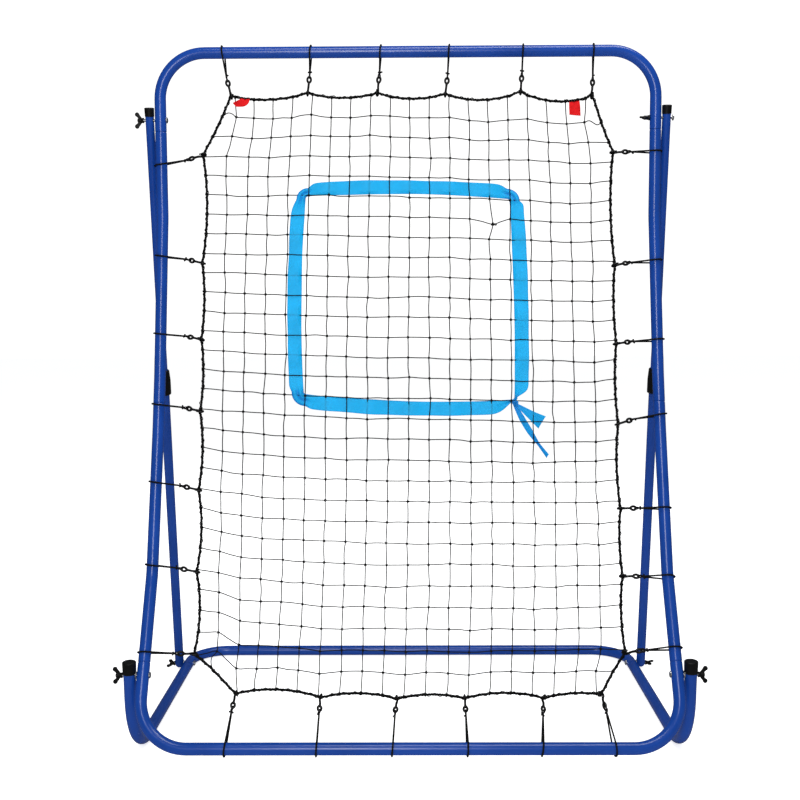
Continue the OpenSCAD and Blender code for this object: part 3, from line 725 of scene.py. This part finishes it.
for tie in ties:
    rope_point, along = rope_at(tie["rope"])
    start = tie["centre"] - tie["out"] * LOOP_R
    back = unit(start - rope_point)
    along = unit(along - (along @ back) * back)
    spin = rng.uniform(-0.5, 0.5)
    across = np.cross(back, along)
    along, across = (
        along * math.cos(spin) + across * math.sin(spin),
        across * math.cos(spin) - along * math.sin(spin),
    )

    def local(shape, origin=rope_point, axes=(back, along, across)):
        shape = np.asarray(shape, float) * MM
        return origin + shape[:, :1] * axes[0] + shape[:, 1:2] * axes[1] + shape[:, 2:3] * axes[2]

    # Hook: a bowl round the rope, a shank and an oval eye
    path = smooth_path(local(HOOK_PATH), 1.2 * MM)
    taper = np.interp(np.linspace(0, 1, len(path)), HOOK_STOPS, HOOK_RADII) * MM
    sweep(hooks, path, taper, 10, flat=0.9, hint=along)
    eye = np.stack([EYE_AT + EYE[0] * np.cos(oval), EYE[1] * np.sin(oval), 0 * oval], 1)
    sweep(hooks, local(eye), 2.5 * MM, 9, closed=True, flat=1.1, hint=across)

    # Cord: a link through the eye, the crimp, and a teardrop loop round the tube
    cords = cord_batches[tie["node"]]
    link = [LINK_AT + LINK[0] * np.cos(oval), LINK[1] * np.sin(oval), LINK[2] * np.sin(oval)]
    sweep(cords, local(np.stack(link, 1)), CORD_R * 0.95, 8, closed=True)
    neck = rope_point + back * CRIMP_TO
    radial = neck - tie["centre"]
    shift = radial @ tie["tube"]
    radial -= shift * tie["tube"]
    distance = np.linalg.norm(radial)
    radial /= distance
    tangent = np.cross(tie["tube"], radial)
    touch = math.acos(min(LOOP_R / distance, 0.98))
    arc = np.linspace(touch, 2 * math.pi - touch, 40)
    straight = math.sqrt(distance**2 - LOOP_R**2)
    slope = shift / (LOOP_R * (math.pi - touch) + straight)
    ring = (
        tie["centre"] + LOOP_R * (np.cos(arc)[:, None] * radial + np.sin(arc)[:, None] * tangent)
        + (slope * LOOP_R * np.abs(arc - math.pi))[:, None] * tie["tube"]
        + (np.cos(arc / 2) * 1.3 * MM)[:, None] * tie["tube"]
    )
    inside = rope_point + back * (CRIMP_FROM + 2 * MM)
    gap = tangent * 1.45 * MM
    shares = np.linspace(0.15, 0.9, 8)[:, None]
    first = ring[0] + (neck + gap - ring[0]) * shares
    last = ring[-1] + (neck - gap - ring[-1]) * shares
    narrow = gap * 0.8
    path = [inside + narrow, neck + gap, first[::-1], ring, last, neck - gap, inside - narrow]
    sweep(cords, smooth_path(np.vstack(path), 2.2 * MM), CORD_R, 8)
    for flip in (1, -1):
        if flip < 0 and rng.random() < 0.2:
            continue
        lean = flip * (along * rng.uniform(0.8, 1.1) + across * rng.uniform(-0.4, 0.4))
        tip = neck + unit(back + lean) * rng.uniform(5.0, 8.0) * MM
        middle = neck + back * 3 * MM + lean * 1.2 * MM
        sweep(cords, smooth_path([inside, neck, middle, tip], 1.2 * MM), CORD_R, 8)

    # Crimp: a pressed sleeve with two bites in it
    steps = np.linspace(0, 1, 17)
    bite = 1 - 0.16 * sum(np.exp(-(((steps - place) / 0.09) ** 2)) for place in (0.33, 0.67))
    flare = 1 + 0.10 * (np.abs(2 * steps - 1) ** 6)
    path = rope_point + back * (CRIMP_FROM + (CRIMP_TO - CRIMP_FROM) * steps)[:, None]
    sweep(crimps, path, CRIMP_R * bite * flare, 16, flat=0.72, hint=np.cross(gap, back))

for node, batch in cord_batches.items():
    batch.build(node.replace("elastic_cords", "cord_loops"), CORD, "elastic_cord", replaces=[node])
crimps.build("pressed_crimps", CRIMP, "crimp_metal", replaces=["cord_crimps"])
hooks.build("net_hooks", BLACK, "black_plastic", replaces=["cord_hooks"])

# ---------------------------------------------------------------- target ribbon

ribbon_points = points_of("target_ribbon")
upper_half = ribbon_points[ribbon_points[:, 2] > ribbon_points[:, 2].mean()]
left_half = ribbon_points[ribbon_points[:, 0] < 0]
outer_x = np.abs(upper_half[:, 0]).max()
ribbon_high, ribbon_low = ribbon_points[:, 2].max(), left_half[:, 2].min()


def sheet(name, grid, material, thick, replaces=(), fold_shade=None):
    """A thin sheet from a grid of points, closed into a solid by a modifier. Its fold values paint shade into
    its creases.
    """
    rows, cols = grid.shape[:2]
    i, k = np.meshgrid(np.arange(rows - 1), np.arange(cols - 1), indexing="ij")
    corner = (i * cols + k).ravel()
    faces = np.stack([corner, corner + 1, corner + cols + 1, corner + cols], 1)
    mesh = bpy.data.meshes.new(name)
    mesh.from_pydata(grid.reshape(-1, 3).tolist(), [], faces.tolist())
    mesh.polygons.foreach_set("use_smooth", np.ones(len(faces), bool))
    mesh.materials.append(material)
    if fold_shade is not None:
        layer = mesh.attributes.new("fold_shade", "FLOAT", "POINT")
        layer.data.foreach_set("value", np.asarray(fold_shade, np.float32).ravel())
    piece = bpy.data.objects.new(name, mesh)
    bpy.context.scene.collection.objects.link(piece)
    solid = piece.modifiers.new("thickness", "SOLIDIFY")
    solid.thickness = thick
    solid.offset = 0
    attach(piece, "net_frame")
    if replaces:
        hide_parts(*replaces)
    return piece


# Inner corners of the square inside its box, counter-clockwise from the lower right, each with the
# ribbon's width there and how far it stays narrow along the side before and the side after; then each
# side's outward bulge (all mm)
CORNERS = [((-33, 33), 6, 20, 10), ((-39, -43), 22, 5, 11), ((37, -36), 20, 8, 17), ((34, 46), 25, 8, 8)]
BULGES = [5, 8, 7, 9]
BOX = [(outer_x, ribbon_low), (outer_x, ribbon_high), (-outer_x, ribbon_high), (-outer_x, ribbon_low)]


def square_path(step):
    """Inner edge of the ribbon's square: points, outward directions, widths and closeness to a corner."""
    r = 5 * MM
    stops = [np.array(box) + np.array(corner[0]) * MM for box, corner in zip(BOX, CORNERS)]
    points, outs, widths, folds = [], [], [], []

    def narrowing(n, gap, before):
        return math.exp(-((gap / (CORNERS[n][2 if before else 3] * MM)) ** 1.5))

    for n in range(4):
        a, b, after = stops[n], stops[(n + 1) % 4], stops[(n + 2) % 4]
        run, run_after = unit(b - a), unit(after - b)
        out, out_after = np.array([run[1], -run[0]]), np.array([run_after[1], -run_after[0]])
        length = np.linalg.norm(b - a) - 2 * r
        for gap in np.linspace(0, length, round(length / step)):
            share = gap / length
            near, far = narrowing(n, gap, False), narrowing((n + 1) % 4, length - gap, True)
            points.append(a + run * (r + gap) + out * BULGES[n] * MM * 4 * share * (1 - share))
            outs.append(out)
            widths.append(
                RIBBON_WIDTH - (RIBBON_WIDTH - CORNERS[n][1] * MM) * near
                - (RIBBON_WIDTH - CORNERS[(n + 1) % 4][1] * MM) * far
            )
            folds.append(max(near, far))
        for t in np.linspace(0, 1, 9)[1:-1]:
            direction = unit(out * math.cos(t * math.pi / 2) + out_after * math.sin(t * math.pi / 2))
            points.append(b - run * r - out * r + direction * r)
            outs.append(direction)
            widths.append(CORNERS[(n + 1) % 4][1] * MM)
            folds.append(1.0)
    return np.array(points), np.array(outs), np.array(widths), np.array(folds)


edge, out, width, near_corner = square_path(3.2 * MM)
ACROSS = 13
WEAVE = 2.7 * MM  # how far the ribbon passes in front of and behind the net
grid = np.zeros((len(edge), ACROSS, 3))
fold_shade = np.zeros((len(edge), ACROSS))
row_gap = (top_z - bottom_z) / (ROWS + 1)
column_gap = np.mean(np.diff(knots[:, ROWS // 2, 0]))
drift = rng.normal(0, 0.8 * MM, 24)
slow = np.interp(np.arange(len(edge)), np.linspace(0, len(edge) - 1, len(drift)), drift)
for k, t in enumerate(np.linspace(0, 1, ACROSS)):
    flat_point = edge + out * (width * t + slow * (t - 0.5))[:, None]
    upright = np.abs(out[:, 0]) ** 2
    weave_z = np.cos(math.pi * (top_z - flat_point[:, 1]) / row_gap)
    weave_x = np.cos(math.pi * (flat_point[:, 0] - knots[0, ROWS // 2, 0]) / column_gap)
    weave = upright * weave_z + (1 - upright) * weave_x
    held_back = math.exp(-((t / 0.16) ** 2))
    lift = WEAVE * (weave * (1 - held_back) + held_back * 0.9)
    pleat = near_corner * 2.0 * MM * math.cos(math.pi * 4 * t)
    cup = 0.9 * MM * (2 * t - 1) ** 2
    grid[:, k, 0] = flat_point[:, 0]
    grid[:, k, 2] = flat_point[:, 1]
    grid[:, k, 1] = net_y(flat_point[:, 1]) + lift + pleat - cup
    # Painted shade in the pleats near the corners; both edges of the band are darkened too
    fold_shade[:, k] = near_corner**2 * (0.45 + 0.35 * math.cos(math.pi * 4 * t)) + 0.25 * (abs(2 * t - 1) > 0.9)
grid, fold_shade = np.vstack([grid, grid[:1]]), np.vstack([fold_shade, fold_shade[:1]])
sheet("target_ribbon_band", grid, RIBBON, 0.35 * MM, replaces=["target_ribbon"], fold_shade=fold_shade)


def strip(name, path, widths, twist, material, thick, cup=0.0, ends=(0.0, 0.0), across=9, fold_shade=()):
    """A loose strip along a path, turned about it by twist, with slanted ends and a cupped section."""
    path = smooth_path(np.array(path) * MM, 2.0 * MM)
    where = np.linspace(0, 1, len(path))
    width = np.interp(where, np.linspace(0, 1, len(widths)), widths) * MM
    turn = np.radians(np.interp(where, np.linspace(0, 1, len(twist)), twist))
    along = unit(np.gradient(path, axis=0))
    front = np.array([0.0, -1.0, 0.0])
    side = unit(np.cross(along, front))
    normal = np.cross(side, along)
    face = side * np.cos(turn)[:, None] + normal * np.sin(turn)[:, None]
    bulge = normal * np.cos(turn)[:, None] - side * np.sin(turn)[:, None]
    grid = np.zeros((len(path), across, 3))
    slant = np.interp(where, [0, 0.25, 0.75, 1], [ends[0], 0, 0, ends[1]]) * MM
    for k, t in enumerate(np.linspace(-0.5, 0.5, across)):
        cupped = bulge * (cup * MM * (4 * t * t - 1))
        grid[:, k] = path + face * (width * t)[:, None] + cupped + along * (slant * t)[:, None]
    # Painted shade along the strip where it folds
    strip_shade = None
    if fold_shade:
        strip_shade = np.repeat(np.interp(where, np.linspace(0, 1, len(fold_shade)), fold_shade)[:, None], across, 1)
    return sheet(name, grid, material, thick, fold_shade=strip_shade)


# Knot and two loose ends at the ribbon's lower right corner, with painted shade on the knot and where the
# ends fold
corner = np.array(BOX[0]) + np.array(CORNERS[0][0]) * MM
knot_point = np.array([corner[0] + 1 * MM, net_y(corner[1]) - 4 * MM, corner[1] - 8 * MM])
k = knot_point / MM
knot_batch = Batch()
sweep(knot_batch, knot_point + trefoil(34, 1.3) * 1.7 * MM, 2.6 * MM, 10, closed=True, flat=0.55)
knot_piece = knot_batch.build("target_ribbon_knot", RIBBON, "target_ribbon")
# Painted shade: the whole knot is darkened as one fold
knot_shade = knot_piece.data.attributes.new("fold_shade", "FLOAT", "POINT")
knot_shade.data.foreach_set("value", np.full(len(knot_piece.data.vertices), 0.8, np.float32))
strip(
    "target_ribbon_end_short",
    [k + (0, -1, -2), k + (15, -6, -11), k + (36, -7, -26), k + (58, -5, -41)],
    [7, 13, 21, 31], [0, 14, 8, 0], RIBBON, 0.35 * MM, cup=1.6, ends=(0, 2),
    fold_shade=(0.75, 0.4, 0.25, 0.2),
)
strip(
    "target_ribbon_end_long",
    [k + (-1, 0, -3), k + (9, -3, -22), k + (22, -5, -45), k + (44, -6, -79), k + (71, -5, -115)],
    [7, 13, 13, 7, 9.5], [0, 5, 10, 30, 20], RIBBON, 0.35 * MM, cup=1.4, ends=(0, 3),
    fold_shade=(0.8, 0.5, 0.5, 0.85, 0.55),
)

# ---------------------------------------------------------------- tags on the top rope

for side_name, place, path, widths, twist, slant in (
    (
        "right", 367.0, [(0, 0.5, 0), (0, -1.4, -2.5), (0.3, -2.6, -7), (1.0, -3.2, -19), (1.6, -4.2, -33)],
        [22, 24, 25, 25, 25], [0, 0, 3, 6, 4], (0, -3),
    ),
    (
        "left", -361.0, [(1, 1.0, 1.0), (1, -3.2, -1.0), (0, -4.4, -6), (-6, -6.2, -10), (-23, -7.0, -14.5)],
        [19, 20, 18, 14, 9], [0, 0, 6, 14, 10], (0, 4),
    ),
):
    anchor, _ = rope_at(np.array([place * MM, net_y(top_z), top_z]))
    shifted = [anchor / MM + p for p in np.array(path, float)]
    strip(
        f"red_tag_{side_name}", shifted, widths, twist, TAG, 0.5 * MM, cup=1.2, ends=slant
    )
    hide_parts(f"net_tag_{side_name}")

# ---------------------------------------------------------------- carried-over steel and plastic


def finish_of(name):
    if "bolt" in name or "spacer" in name:
        return ZINC
    if any(word in name for word in ("wing_nut", "cap", "collar", "collet")):
        return BLACK
    return BLUE


shown = [n for n in nodes if not any(word in n for word in ("net_", "rope", "cord", "ribbon"))]
for name in shown:
    piece = nodes[name]
    piece.data.materials.clear()
    piece.data.materials.append(finish_of(name))
    if "wing_nut" in name or "collar" in name:
        melt = piece.modifiers.new("melt", "REMESH")
        melt.mode = "VOXEL"
        melt.voxel_size = 0.55 * MM
        melt.use_smooth_shade = True
        soften = piece.modifiers.new("soften", "SMOOTH")
        soften.factor = 0.5
        soften.iterations = 5

# ---------------------------------------------------------------- floor, light and camera


def staged(name, points, faces, material):
    mesh = bpy.data.meshes.new(name)
    mesh.from_pydata(points, [], faces)
    mesh.materials.append(material)
    piece = bpy.data.objects.new(name, mesh)
    bpy.context.scene.collection.objects.link(piece)
    return piece


def floor_finish():
    material, tree = new_tree("studio_floor")
    soft = noise(tree, 0.8, 2.0, object_place(tree))
    colour = ramp(tree, soft, [(0.3, (0.93, 0.93, 0.93)), (0.7, (0.96, 0.96, 0.96))])
    ray = add(tree, "ShaderNodeLightPath")
    dark = add(
        tree, "ShaderNodeMix", {"data_type": "RGBA"}, Factor=ray.outputs["Is Glossy Ray"], i6=colour,
        i7=(0.12, 0.12, 0.12, 1.0)
    )
    matt = add(tree, "ShaderNodeBsdfDiffuse", Color=dark.outputs[2])
    strength = maths(tree, "MULTIPLY_ADD", ray.outputs["Is Camera Ray"], 0.66, 0.06)
    glow = add(tree, "ShaderNodeEmission", Color=(1, 1, 1, 1), Strength=strength)
    both = add(tree, "ShaderNodeAddShader", i0=matt.outputs[0], i1=glow.outputs[0])
    add(tree, "ShaderNodeOutputMaterial", Surface=both.outputs[0])
    return material


staged(
    "studio_floor_plane",
    [(-9, -6, -0.0004), (9, -6, -0.0004), (9, 14, -0.0004), (-9, 14, -0.0004)],
    [(0, 1, 2, 3)],
    floor_finish(),
)

world = bpy.data.worlds.new("studio")
bpy.context.scene.world = world
world.use_nodes = True
tree = world.node_tree
tree.nodes.clear()
ray = add(tree, "ShaderNodeLightPath")
fill = maths(tree, "MULTIPLY_ADD", ray.outputs["Is Glossy Ray"], -0.22, 0.30)
white = add(tree, "ShaderNodeBackground", Color=(1, 1, 1, 1), Strength=1.15)
dim = add(tree, "ShaderNodeBackground", Color=(0.96, 0.98, 1.0, 1), Strength=fill)
both = add(
    tree, "ShaderNodeMixShader", i0=ray.outputs["Is Camera Ray"], i1=dim.outputs[0], i2=white.outputs[0]
)
add(tree, "ShaderNodeOutputWorld", Surface=both.outputs[0])


def area_light(name, place, target, width, height, power, mirrored=True):
    data = bpy.data.lights.new(name, "AREA")
    data.shape = "RECTANGLE"
    data.size = width
    data.size_y = height
    data.energy = power
    lamp = bpy.data.objects.new(name, data)
    lamp.location = place
    lamp.rotation_euler = (Vector(target) - Vector(place)).to_track_quat("-Z", "Y").to_euler()
    lamp.visible_glossy = mirrored
    bpy.context.scene.collection.objects.link(lamp)


area_light("softbox_front", (-0.3, -3.6, 1.9), (0, -0.2, 0.7), 0.8, 2.0, 60)
area_light("softbox_top", (0.4, -0.6, 3.4), (0, 0, 0.4), 2.6, 0.8, 45)
area_light("softbox_back", (0.0, 3.2, 2.2), (0, 0.2, 0.6), 3.0, 1.6, 35, mirrored=False)

bpy.context.scene.view_settings.view_transform = "Standard"

camera_data = bpy.data.cameras.new("camera")
camera_data.sensor_width = 36.0
camera_data.lens = 49.56
camera = bpy.data.objects.new("camera", camera_data)
bpy.context.scene.collection.objects.link(camera)
bpy.context.scene.camera = camera
pitch, yaw, roll = (math.radians(a) for a in (5.654, -0.484, -0.254))
ahead = Vector((math.sin(yaw) * math.cos(pitch), math.cos(yaw) * math.cos(pitch), -math.sin(pitch)))
level_right = Vector((math.cos(yaw), -math.sin(yaw), 0.0))
level_up = level_right.cross(ahead)
image_right = math.cos(roll) * level_right + math.sin(roll) * level_up
image_up = -math.sin(roll) * level_right + math.cos(roll) * level_up
turned = Matrix((image_right, image_up, -ahead)).transposed().to_4x4()
camera.matrix_world = Matrix.Translation((0.00136, -2.5135, 0.9802)) @ turned
